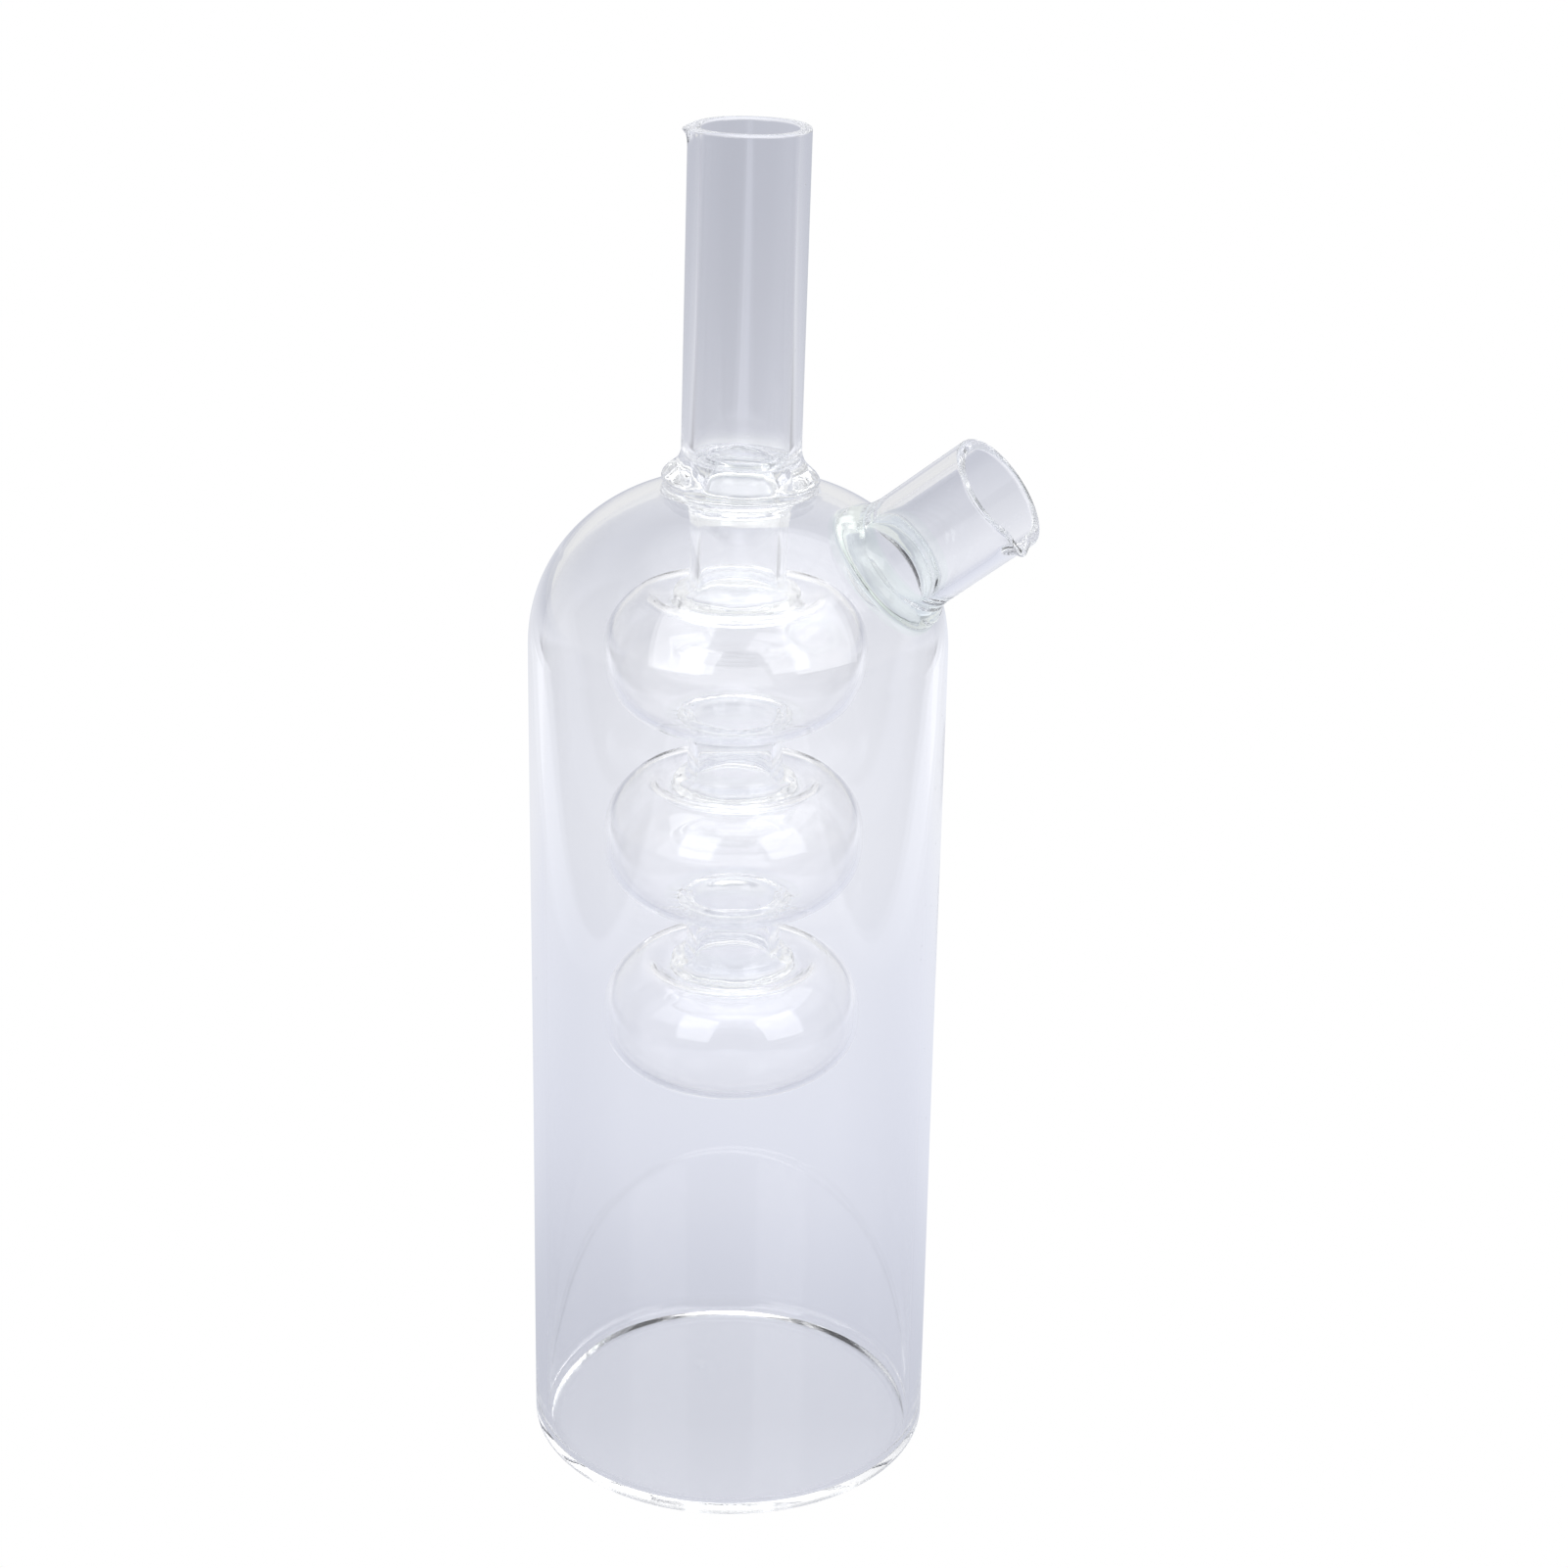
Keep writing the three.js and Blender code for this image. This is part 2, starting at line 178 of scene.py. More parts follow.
def low_ring(b, pts):
    """Points (radius, height against the joint, share that follows the bulb's own foot)."""
    lift = bulb_z(b, 13.2, False) - b["bot"] + 1.32
    return [[r, b["bot"] + dz + w * lift] for r, dz, w in pts]


def inside_of(b):
    """The bulb's inside skin: the outside one moved in by the wall."""
    c = bulb_skin(b)
    o = offset(c, -SHELL)
    if b["bot"] is None:
        o[-1] = [0.0, c[-1][1] + SHELL]
    o[:, 0] = np.maximum(o[:, 0], 0.0)
    return o


# Each section: (piece, curve, flags). flags: ring = seed of hand-made waviness.
def outer_skin():
    s = []
    s.append(("base_disc", line([0, 0], [BODY_R - HEEL_R, 0], 16), {}))
    s.append(("base_disc", arc(BODY_R - HEEL_R, HEEL_R, HEEL_R, -90, 0, 34), {}))
    s.append(("body_wall", line([BODY_R, HEEL_R], [BODY_R, SH_Z], 40), {}))
    s.append(("shoulder_dome", DOME_OUT, {}))
    s.append(
        (
            "neck_seal_ring",
            spline(
                [[SEAL_R, SEAL_Z], [13.66, 186.6], [13.52, 187.0], [13.62, 187.5], [13.86, 188.0], [13.93, 188.5], [13.68, 189.05], [13.15, 189.6], [12.45, 190.2], [11.75, 190.85], [11.2, 191.6], [10.82, 192.5], [NECK_R, 193.6]],
                9,
                DOME_OUT[-2],
                [NECK_R, 195],
            ),
            dict(ring=1, tilt=0.03),
        )
    )
    s.append(("neck_tube", line([NECK_R, 193.6], [NECK_R, TOP - 7], 34), {}))
    s.append(("neck_tube", line([NECK_R, TOP - 7], [NECK_R, TOP - RIM], 30), {}))
    s.append(("neck_tube", rim(NECK_R, NECK_IN, TOP, RIM, 40), {}))
    s.append(("neck_tube", line([NECK_IN, TOP - RIM], [NECK_IN, TOP - 7], 30), {}))
    s.append(("neck_tube", line([NECK_IN, TOP - 7], [NECK_IN, 194.6], 34), {}))
    s.append(
        (
            "neck_seal_ring",
            spline(
                [[NECK_IN, 194.6], [8.48, 193.4], [8.42, 192.4], [8.25, 191.6], [7.88, 191.1], [7.4, 191.0], [7.05, 191.35], [6.9, 191.95], [6.68, 192.55], [6.3, 192.8], [5.93, 192.55], [5.76, 191.95], [5.75, 191.1], [5.88, 189.7], [6.15, 188.2], [6.5, 186.7], [6.78, 185.4], [STEM_IN, 184.0]],
                8,
                [NECK_IN, 196.0],
                [STEM_IN, 182.5],
            ),
            dict(ring=2, tilt=0.075),
        )
    )
    z0 = 184.0
    for k, b in enumerate(BULBS):
        t = b["top"]
        stem = "inner_stem" if k == 0 else ("upper_link_tube" if k == 1 else "lower_link_tube")
        inn = inside_of(b)
        a, e = t - 1.45, inn[0][1]
        s.append((stem, line([STEM_IN, z0], [STEM_IN, t + 2.6], 10), {}))
        s.append(
            (
                b["name"] + "_bulb_top_ring",
                spline(
                    [[STEM_IN, t + 2.6], [6.95, t + 1.7], [7.12, t + 0.8], [7.5, t - 0.05], [8.1, t - 0.8], [8.85, a], [9.7, a + 0.52 * (e - a)], [10.6, a + 0.87 * (e - a)], [11.4, e], list(inn[0])],
                    8,
                    [STEM_IN, t + 4.0],
                    inn[1],
                ),
                dict(ring=10 + k),
            )
        )
        s.append((b["name"] + "_bulb", inn, {}))
        if b["bot"] is not None:
            z = b["bot"]
            s.append(
                (
                    b["name"] + "_bulb_bottom_ring",
                    spline(
                        [list(inn[-1])] + low_ring(b, [(12.0, -0.44, 1), (11.2, -0.5, 1), (10.6, -0.43, 1), (10.2, -0.25, 1), (9.85, -0.02, 1), (9.45, 0.05, 1), (9.1, -0.1, 1), (8.7, -0.32, 1), (8.2, -0.45, 1), (7.75, -0.67, 1), (7.4, -1.07, 1), (7.14, -1.65, 1), (6.95, -2.5, 1), (STEM_IN, -3.7, 0)]),
                        8,
                        inn[-2],
                        [STEM_IN, z - 5.2],
                    ),
                    dict(ring=20 + k),
                )
            )
            z0 = z - 3.7
    return s


def inner_skin():
    s = []
    ri = BODY_R - WALL
    s.append(("base_disc", line([0, FLOOR_T], [ri - HEEL_IN_R, FLOOR_T], 40), {}))
    s.append(("body_wall", arc(ri - HEEL_IN_R, FLOOR_T + HEEL_IN_R, HEEL_IN_R, -90, 0, 34), {}))
    s.append(("body_wall", line([ri, FLOOR_T + HEEL_IN_R], [ri, SH_Z], 40), {}))
    s.append(("shoulder_dome", DOME_IN, {}))
    z = DIN_END[1]
    s.append(
        (
            "neck_seal_ring",
            spline([list(DIN_END), [13.1, z + 0.22], [12.1, z + 0.38], [11.1, z + 0.3], [10.2, z - 0.2], [9.45, z - 1.05], [8.95, z - 2.2], [8.7, z - 3.4], [STEM_R, z - 4.8]], 8, DOME_IN[-2], [STEM_R, z - 6.2]),
            dict(ring=3),
        )
    )
    z0 = z - 4.8
    for k, b in enumerate(BULBS):
        t = b["top"]
        stem = "inner_stem" if k == 0 else ("upper_link_tube" if k == 1 else "lower_link_tube")
        out = bulb_skin(b)
        s.append((stem, line([STEM_R, z0], [STEM_R, t + 3.2], 10), {}))
        s.append(
            (
                b["name"] + "_bulb_top_ring",
                spline(
                    [[STEM_R, t + 3.2], [8.66, t + 2.3], [8.86, t + 1.5], [9.3, t + 0.95], [9.95, t + 0.72], [10.65, t + 0.5], [11.15, t + 0.02], [11.33, t - 0.6], [11.3, out[0][1] + 0.55], [11.48, out[0][1] + 0.13], list(out[0])],
                    8,
                    [STEM_R, t + 4.6],
                    out[1],
                ),
                dict(ring=30 + k),
            )
        )
        s.append((b["name"] + "_bulb", out, {}))
        if b["bot"] is not None:
            z = b["bot"]
            s.append(
                (
                    b["name"] + "_bulb_bottom_ring",
                    spline(
                        [list(out[-1])] + low_ring(b, [(12.2, -1.48, 1), (11.2, -1.6, 1), (10.3, -1.66, 1), (9.65, -1.8, 0.85), (9.12, -2.06, 0.6), (8.82, -2.45, 0.35), (8.66, -3.0, 0.15), (STEM_R, -3.8, 0)]),
                        8,
                        out[-2],
                        [STEM_R, z - 5.3],
                    ),
                    dict(ring=40 + k),
                )
            )
            z0 = z - 3.8
    return s


# -------------------------------------------------------- hand-made character
def wob(phi, seed, orders=(1, 2, 3, 5, 8)):
    w = np.zeros_like(phi)
    for i, m in enumerate(orders):
        w += math.sin(seed * 12.9898 + i * 4.1414) * np.sin(m * phi + seed * 2.399 + i * 1.7) / (1 + 0.35 * i)
    return w


def to_row(xc, yc):
    """Photo-frame direction (right, away) in the row's frame."""
    return (xc * math.cos(CAM_AZ) - yc * math.sin(CAM_AZ), xc * math.sin(CAM_AZ) + yc * math.cos(CAM_AZ))


RIGHT = np.array([*to_row(1, 0), 0.0])
NECK_LEAN = 0.0138
LIP_AZ = math.radians(205)


def lip_push(phi, z, top, az, out, half, depth):
    d = np.arctan2(np.sin(phi - az), np.cos(phi - az))
    w = np.exp(-np.abs(d / math.radians(half)) ** 2.2)
    h = np.exp(-np.abs((top - z) / depth) ** 1.6)
    return out * w * h


def round_tangent(P, az):
    h = np.diff(np.concatenate([az, [az[0] + 2 * math.pi]]))
    hp, hm = h[None, :, None], np.roll(h, 1)[None, :, None]
    return (np.roll(P, -1, 1) - P) * hm / hp + (P - np.roll(P, 1, 1)) * hp / hm


def grid_of(sections, outside):
    rows, tags, ringinfo = [], [], []
    for piece, curve, flags in sections:
        c = curve if not rows else curve[1:]
        n = len(curve)
        for i in range(len(c)):
            j = i + (n - len(c))
            rows.append(c[i])
            env = math.sin(math.pi * j / (n - 1)) if "ring" in flags else 0.0
            ringinfo.append((flags.get("ring", 0), env, flags.get("tilt", 0.0)))
        tags += [piece] * (n - 1)
    rows = np.array(rows)
    ph = PHI
    r, z = rows[:, 0][:, None], rows[:, 1][:, None]
    R = np.repeat(r, NPHI, 1)
    Z = np.repeat(z, NPHI, 1)
    PH = np.repeat(ph[None, :], len(rows), 0)
    # rings: uneven weld
    for i, (seed, env, tilt) in enumerate(ringinfo):
        if seed:
            R[i] += env * (0.07 * wob(ph, seed) + 0.018 * wob(ph, seed + 50, (17, 23, 31, 37)))
            Z[i] += env * (0.10 * wob(ph, seed + 7) + 0.02 * wob(ph, seed + 60, (19, 27, 34)))
            if tilt:
                Z[i] -= env * tilt * R[i] * np.cos(ph - CAM_AZ)
    # rim and pouring lip of the neck
    top = np.exp(-(((TOP - Z) / 4.0) ** 2)) * (R > 5)
    Z += top * 0.10 * wob(PH, 5, (1, 2, 3))
    push = lip_push(PH, Z, TOP, LIP_AZ, 1.15, 12.0, 1.3) * (R > 5)
    R += push
    Z -= 0.30 * push
    # tube-drawn wall: very slight out-of-round and uneven thickness
    amp = np.where((Z > 8) & (Z < 178) & (R > 30), 1.0, 0.0) * np.clip((Z - 8) / 20, 0, 1) * np.clip((178 - Z) / 16, 0, 1)
    Q = np.stack([R * np.cos(PH), R * np.sin(PH), Z - AXIS_Z], -1)
    near = np.hypot(Q @ E1, Q[..., 1])
    amp *= np.where(Q[..., 0] > 0, np.clip((near - 16.5) / 10, 0, 1) ** 2, 1.0)
    R += amp * (0.05 if outside else 0.03) * wob(PH + Z * 0.004, 11 if outside else 13, (2, 3, 5, 7)) * 0.6
    R += amp * 0.05 * np.sin(Z * 0.045 + PH * 2 + (0.4 if outside else 2.0))
    amp = np.clip((Z - 196) / 8, 0, 1) * np.clip((247 - Z) / 4, 0, 1)
    R += amp * 0.02 * wob(PH + Z * 0.01, 21 if outside else 23, (2, 3, 5, 7))
    P = np.stack([R * np.cos(PH), R * np.sin(PH), Z], -1)
    # the neck leans a little; the inner chain hangs a little off the axis
    zz = P[..., 2]
    P += (NECK_LEAN * np.clip(zz - 187, 0, None))[..., None] * RIGHT
    hung = np.array([t.startswith(("neck_seal", "inner_stem", "upper_", "middle_", "lower_")) for t in tags + tags[-1:]])
    chain = hung[:, None] * np.clip((184 - zz) / 20, 0, 1)
    P -= (0.42 * chain)[..., None] * RIGHT
    # tip-off mark in the middle of the floor
    nx, ny = to_row(-5.5, 15.5)
    d2 = (P[..., 0] - nx) ** 2 + (P[..., 1] - ny) ** 2
    mark = np.exp(-d2 / 0.9) * (zz < 3)
    P[..., 2] += mark * (0.35 if not outside else -0.0)
    s = np.concatenate([[0], np.cumsum(np.linalg.norm(np.diff(rows, axis=0), axis=1))])
    ds = np.gradient(P, s, axis=0)
    dp = round_tangent(P, PHI)
    n = np.cross(dp, ds)
    l = np.linalg.norm(n, axis=2)
    l[l < 1e-12] = 1
    n = n / l[..., None]
    if not outside:
        n = -n
    for i in (0, len(rows) - 1):
        if rows[i, 0] < 1e-9:
            up = {(True, 0): -1.0, (True, 1): 1.0, (False, 0): 1.0, (False, 1): -1.0}[(outside, 0 if i == 0 else 1)]
            n[i] = [0, 0, up]
    return P, n, tags, rows


# ---------------------------------------------------------------- mesh piles
class Pile:
    def __init__(self):
        self.v, self.n, self.f = [], [], []
        self.count = 0

    def verts(self, v, n):
        self.v.append(np.asarray(v).reshape(-1, 3))
        self.n.append(np.asarray(n).reshape(-1, 3))
        base = self.count
        self.count += len(self.v[-1])
        return base


piles = {}


def pile(name):
    return piles.setdefault(name, Pile())


def add_rows(p, P, N, i0, i1, flip, skip=None):
    """Quads between rows i0..i1 of a closed grid. skip[i, j] drops a quad."""
    w = P.shape[1]
    base = p.verts(P[i0 : i1 + 1], N[i0 : i1 + 1])
    for i in range(i0, i1):
        lo_pole = np.ptp(P[i], axis=0).max() < 1e-9
        hi_pole = np.ptp(P[i + 1], axis=0).max() < 1e-9
        for j in range(w):
            if skip is not None and skip[i, j]:
                continue
            j2 = (j + 1) % w
            a, b = base + (i - i0) * w + j, base + (i - i0) * w + j2
            c, d = base + (i + 1 - i0) * w + j2, base + (i + 1 - i0) * w + j
            q = (a, c, d) if lo_pole else ((a, b, d) if hi_pole else (a, b, c, d))
            p.f.append(q[::-1] if flip else q)
    return base


# ------------------------------------------------------------ spout geometry


def dome_radius(z, curve):
    return np.interp(z, curve[:, 1], curve[:, 0])


def skin_height(rho, al, curve):
    """Distance along the spout axis at which the offset line leaves the dome skin."""
    lo, hi = np.full_like(rho, 24.0), np.full_like(rho, 50.0)
    for _ in range(48):
        m = (lo + hi) / 2
        P = ORG + rho[..., None] * (np.cos(al)[..., None] * E1 + np.sin(al)[..., None] * E2) + m[..., None] * E3
        out = np.hypot(P[..., 0], P[..., 1]) > dome_radius(P[..., 2], curve)
        hi = np.where(out, m, hi)
        lo = np.where(out, lo, m)
    return (lo + hi) / 2


FLAT_OUT, FLAT_IN = 36.6, 34.6  # where the level planes of the collar's two skins sit on the spout's axis


def spout_grid():
    """Rows run from the dome's outside, over the collar and the tube's rim, down the bore to the dome's inside."""
    al = ALF
    out, tags = [], []  # (rho, h or S, blend)

    def push(pts, tag):
        for p in pts if not out else pts[1:]:
            out.append(p)
        tags.extend([tag] * (len(pts) - 1))

    def fillet(pts, before, after):
        """(rho, height over the dome's skin) with the share of the level plane growing with height."""
        c = spline(pts, 7, before, after)
        res = []
        for r_, h in c:
            u = min(1.0, max(0.0, (h - 0.9) / 4.6))
            res.append([r_, h, u * u * (3 - 2 * u)])
        return res

    push([[r, 0, 0] for r in np.linspace(HOLE_R + 0.9, 12.95, 7)], "dome")
    push(
        fillet([[12.95, 0], [12.66, 0.06], [12.47, 0.28], [12.48, 0.66], [12.55, 1.08], [12.48, 1.52], [12.2, 1.98], [11.8, 2.4], [11.42, 2.88], [11.1, 3.5], [10.86, 4.25], [10.7, 5.1], [SP_R, 6.3]], [13.25, 0], [SP_R, 7.5]),
        "seal",
    )
    push([[SP_R, x, 2.0] for x in np.linspace(FLAT_OUT + 6.3, SP_END - 7, 14)], "tube")
    push([[SP_R, x, 2.0] for x in np.linspace(SP_END - 7, SP_END - RIM, 32)], "tube")
    push([[a[0], a[1], 2.0] for a in rim(SP_R, SP_IN, SP_END, RIM, 40)], "tube")
    push([[SP_IN, x, 2.0] for x in np.linspace(SP_END - RIM, SP_END - 7, 32)], "tube")
    push([[SP_IN, x, 2.0] for x in np.linspace(SP_END - 7, FLAT_IN + 7.0, 16)], "tube")
    push(
        fillet([[SP_IN, 7.0], [SP_IN, 6.0], [8.5, 5.0], [8.46, 4.1], [8.48, 3.3], [8.66, 2.55], [9.05, 1.85], [9.6, 1.2], [10.3, 0.65], [11.1, 0.25], [11.8, 0.06], [12.4, 0]], [SP_IN, 8.0], [12.9, 0]),
        "seal",
    )
    push([[r, 0, 0] for r in np.linspace(12.4, HOLE_R + 0.9, 8)], "dome")
    A = np.array(out)
    first_in = int(np.argmax((A[:, 2] >= 2.0) & (A[:, 0] <= SP_IN + 1e-9)))
    rho = np.repeat(A[:, 0][:, None], NSP, 1)
    AL = np.repeat(al[None, :], len(A), 0)
    env = np.where((A[:, 2] < 2.0) & (A[:, 1] > 0), np.sin(math.pi * np.clip(A[:, 1] / 6.3, 0, 1)), 0.0)
    S = np.zeros_like(rho)
    for i, (r_, h, lam) in enumerate(A):
        seed = 71 if i < first_in else 83
        rho[i] += env[i] * (0.06 * wob(al, seed) + 0.015 * wob(al, seed + 3, (13, 19, 29, 37)))
        if lam >= 2.0:
            S[i] = h
        else:
            sk = skin_height(rho[i], al, DOME_OUT if i < first_in else DOME_IN)
            S[i] = sk + h + lam * ((FLAT_OUT if i < first_in else FLAT_IN) - sk) + env[i] * (0.10 * wob(al, 91) + 0.015 * wob(al, 95, (17, 23, 31)))
    # rim waviness and the pinched lip on the low side
    topf = np.exp(-(((SP_END - S) / 4.0) ** 2))
    S += topf * 0.18 * wob(AL, 35, (2, 3))
    push_ = lip_push(AL, S, SP_END, math.radians(-28), 2.1, 11.0, 1.9)
    rho = rho + push_
    S = S - 0.25 * push_
    P = ORG + rho[..., None] * (np.cos(AL)[..., None] * E1 + np.sin(AL)[..., None] * E2) + S[..., None] * E3
    mid = P.mean(1)
    s = np.concatenate([[0], np.cumsum(np.maximum(1e-6, np.linalg.norm(np.diff(P[:, 0], axis=0), axis=1)))])
    ds = np.gradient(P, s, axis=0)
    dp = round_tangent(P, ALF)
    n = np.cross(dp, ds)
    n /= np.maximum(1e-12, np.linalg.norm(n, axis=2))[..., None]
    for i, (r_, h, lam) in enumerate(A):
        if lam == 0 and h == 0 and r_ > 12.5:
            c, sg = (DOME_OUT, 1.0) if i < first_in else (DOME_IN, -1.0)
            g = np.gradient(c, axis=0)
            g /= np.linalg.norm(g, axis=1)[:, None]
            z_ = P[i, :, 2]
            nr, nz = np.interp(z_, c[:, 1], g[:, 1]), np.interp(z_, c[:, 1], -g[:, 0])
            a_ = np.arctan2(P[i, :, 1], P[i, :, 0])
            m = np.stack([nr * np.cos(a_), nr * np.sin(a_), nz], -1) * sg
            n[i] = m / np.linalg.norm(m, axis=1)[:, None]
    return P, n, tags, A


# ---------------------------------------------------------------- build glass
PA, NA, TA, RA = grid_of(outer_skin(), True)
PB, NB, TB, RB = grid_of(inner_skin(), False)
PS, NS, TS, AS = spout_grid()


def spout_rho(P):
    w = P - ORG
    a, b = w @ E1, w @ E2
    return np.hypot(a, b), a, b


def runs(tags):
    i = 0
    while i < len(tags):
        j = i
        while j < len(tags) and tags[j] == tags[i]:
            j += 1
        yield tags[i], i, j
        i = j


def within(x, y, poly):
    """Whether the point lies inside the closed outline."""
    hit = False
    for (x1, y1), (x2, y2) in zip(poly, poly[1:] + poly[:1]):
        if (y1 > y) != (y2 > y) and x < (x2 - x1) * (y - y1) / (y2 - y1) + x1:
            hit = not hit
    return hit


def dome_patch(p, P, N, i0, i1, base, flip, skip, PL, NL):
    """Fills between the stepped hole of the dome's grid and the round loop of the spout's patch."""
    w = P.shape[1]
    edges = {}
    for i in range(i0, i1):
        for j in range(w):
            if not skip[i, j]:
                continue
            j2 = (j + 1) % w
            quad = [(i, j), (i, j2), (i + 1, j2), (i + 1, j)]
            for a, b in zip(quad, quad[1:] + quad[:1]):
                edges[(a, b)] = edges.get((a, b), 0) + 1
    border = [(a, b) for (a, b) in edges if (b, a) not in edges]
    nxt = {a: b for a, b in border}
    start = border[0][0]
    ring = [start]
    while nxt[ring[-1]] != start:
        ring.append(nxt[ring[-1]])
    pts, idx = [], []
    for i, j in ring:
        _, a, b = spout_rho(P[i, j])
        pts.append(Vector((float(a), float(b))))
        idx.append(base + (i - i0) * w + j)
    m = len(pts)
    lb = p.verts(PL, NL)
    for k in range(len(PL)):
        _, a, b = spout_rho(PL[k])
        pts.append(Vector((float(a), float(b))))
        idx.append(lb + k)
    e = [(k, (k + 1) % m) for k in range(m)] + [(m + k, m + (k + 1) % len(PL)) for k in range(len(PL))]
    vo, eo, fo, ov, oe, of_ = delaunay_2d_cdt(pts, e, [], 1, 1e-7, True)
    allv = np.vstack(p.v)
    alln = np.vstack(p.n)
    outline = [tuple(pts[k]) for k in range(m)]
    loop = [tuple(pts[k]) for k in range(m, len(pts))]
    for f in fo:
        c = sum((vo[k] for k in f), Vector((0, 0))) / 3
        if not within(c.x, c.y, outline) or within(c.x, c.y, loop):
            continue
        t = [idx[ov[k][0]] for k in f]
        g = np.cross(allv[t[1]] - allv[t[0]], allv[t[2]] - allv[t[0]])
        p.f.append(tuple(t) if g @ alln[t[0]] > 0 else tuple(t[::-1]))
    return lb


# rows of the spout's grid that lie at the hole's edge
dome_rows_out = [i for i in range(len(AS)) if AS[i, 2] == 0 and i < 12]
i_out = 2  # the first rows beyond the hole only serve the normals
i_in = len(AS) - 3
PS_edge_out, PS_edge_in = PS[i_out], PS[i_in]
HOLE_R = float(AS[i_out, 0])
HOLE_R_IN = float(AS[i_in, 0])

for P, N, T, flip, edge, edge_n, hole in (
    (PA, NA, TA, False, PS[i_out], NS[i_out], HOLE_R),
    (PB, NB, TB, True, PS[i_in], NS[i_in], HOLE_R_IN),
):
    for piece, a, b in runs(T):
        if piece != "shoulder_dome":
            add_rows(pile(piece), P, N, a, b, flip)
            continue
        rho, _, _ = spout_rho(P)
        near = (rho < hole + 0.45) & (P[..., 0] > 5)
        skip = np.zeros((P.shape[0], P.shape[1]), bool)
        for i in range(a, b):
            m = near[i] | near[i + 1]
            skip[i] = m | np.roll(m, -1)
        p = pile(piece)
        base = add_rows(p, P, N, a, b, flip, skip)
        dome_patch(p, P, N, a, b, base, flip, skip, edge, edge_n)

for tag, a, b in runs(TS):
    piece = {"dome": "shoulder_dome", "seal": "spout_seal_ring", "tube": "spout_tube"}[tag]
    a2, b2 = max(a, i_out), min(b, i_in)
    add_rows(pile(piece), PS, NS, a2, b2, False)

SLOTS = {
    "base_disc": "clear_glass",
    "body_wall": "clear_glass",
    "shoulder_dome": "clear_glass",
    "neck_seal_ring": "seam_glass",
    "neck_tube": "neck_glass",
    "spout_seal_ring": "seam_glass",
    "spout_tube": "neck_glass",
    "inner_stem": "core_glass",
    "upper_link_tube": "core_glass",
    "lower_link_tube": "core_glass",
}
for b in BULBS:
    SLOTS[b["name"] + "_bulb"] = "core_glass"
    SLOTS[b["name"] + "_bulb_top_ring"] = "seam_glass"
    if b["bot"] is not None:
        SLOTS[b["name"] + "_bulb_bottom_ring"] = "seam_glass"


# ------------------------------------------------------------------ materials
def glass(name, tint, rough, wave, wave_scale, streak, seeds):
    m = bpy.data.materials.new(name)
    m.use_nodes = True
    nt = m.node_tree
    nt.nodes.clear()
    out = nt.nodes.new("ShaderNodeOutputMaterial")
    bsdf = nt.nodes.new("ShaderNodeBsdfPrincipled")
    bsdf.inputs["Base Color"].default_value = (*tint, 1)
    bsdf.inputs["Roughness"].default_value = rough
    bsdf.inputs["IOR"].default_value = 1.474
    bsdf.inputs["Transmission Weight"].default_value = 1.0
    bsdf.inputs["Metallic"].default_value = 0.0
    nt.links.new(bsdf.outputs[0], out.inputs[0])
    tc = nt.nodes.new("ShaderNodeTexCoord")
    # slow waviness of hand-worked glass
    n1 = nt.nodes.new("ShaderNodeTexNoise")
    n1.inputs["Scale"].default_value = wave_scale
    n1.inputs["Detail"].default_value = 1.0
    nt.links.new(tc.outputs["Object"], n1.inputs["Vector"])
    b1 = nt.nodes.new("ShaderNodeBump")
    b1.inputs["Strength"].default_value = 1.0
    b1.inputs["Distance"].default_value = wave
    nt.links.new(n1.outputs["Fac"], b1.inputs["Height"])
    # draw lines along the tube
    mp = nt.nodes.new("ShaderNodeMapping")
    mp.inputs["Scale"].default_value = (520, 520, 7)
    nt.links.new(tc.outputs["Object"], mp.inputs["Vector"])
    n2 = nt.nodes.new("ShaderNodeTexNoise")
    n2.inputs["Scale"].default_value = 1.0
    n2.inputs["Detail"].default_value = 2.0
    nt.links.new(mp.outputs[0], n2.inputs["Vector"])
    b2 = nt.nodes.new("ShaderNodeBump")
    b2.inputs["Strength"].default_value = 1.0
    b2.inputs["Distance"].default_value = streak
    nt.links.new(n2.outputs["Fac"], b2.inputs["Height"])
    nt.links.new(b1.outputs[0], b2.inputs["Normal"])
    # sparse tiny seeds
    v = nt.nodes.new("ShaderNodeTexVoronoi")
    v.inputs["Scale"].default_value = 210.0
    nt.links.new(tc.outputs["Object"], v.inputs["Vector"])
    rr = nt.nodes.new("ShaderNodeMapRange")
    rr.inputs["From Min"].default_value = 0.0
    rr.inputs["From Max"].default_value = 0.055
    rr.inputs["To Min"].default_value = 1.0
    rr.inputs["To Max"].default_value = 0.0
    nt.links.new(v.outputs["Distance"], rr.inputs["Value"])
    b3 = nt.nodes.new("ShaderNodeBump")
    b3.inputs["Strength"].default_value = 1.0
    b3.inputs["Distance"].default_value = seeds
    nt.links.new(rr.outputs[0], b3.inputs["Height"])
    nt.links.new(b2.outputs[0], b3.inputs["Normal"])
    nt.links.new(b3.outputs[0], bsdf.inputs["Normal"])
    return m


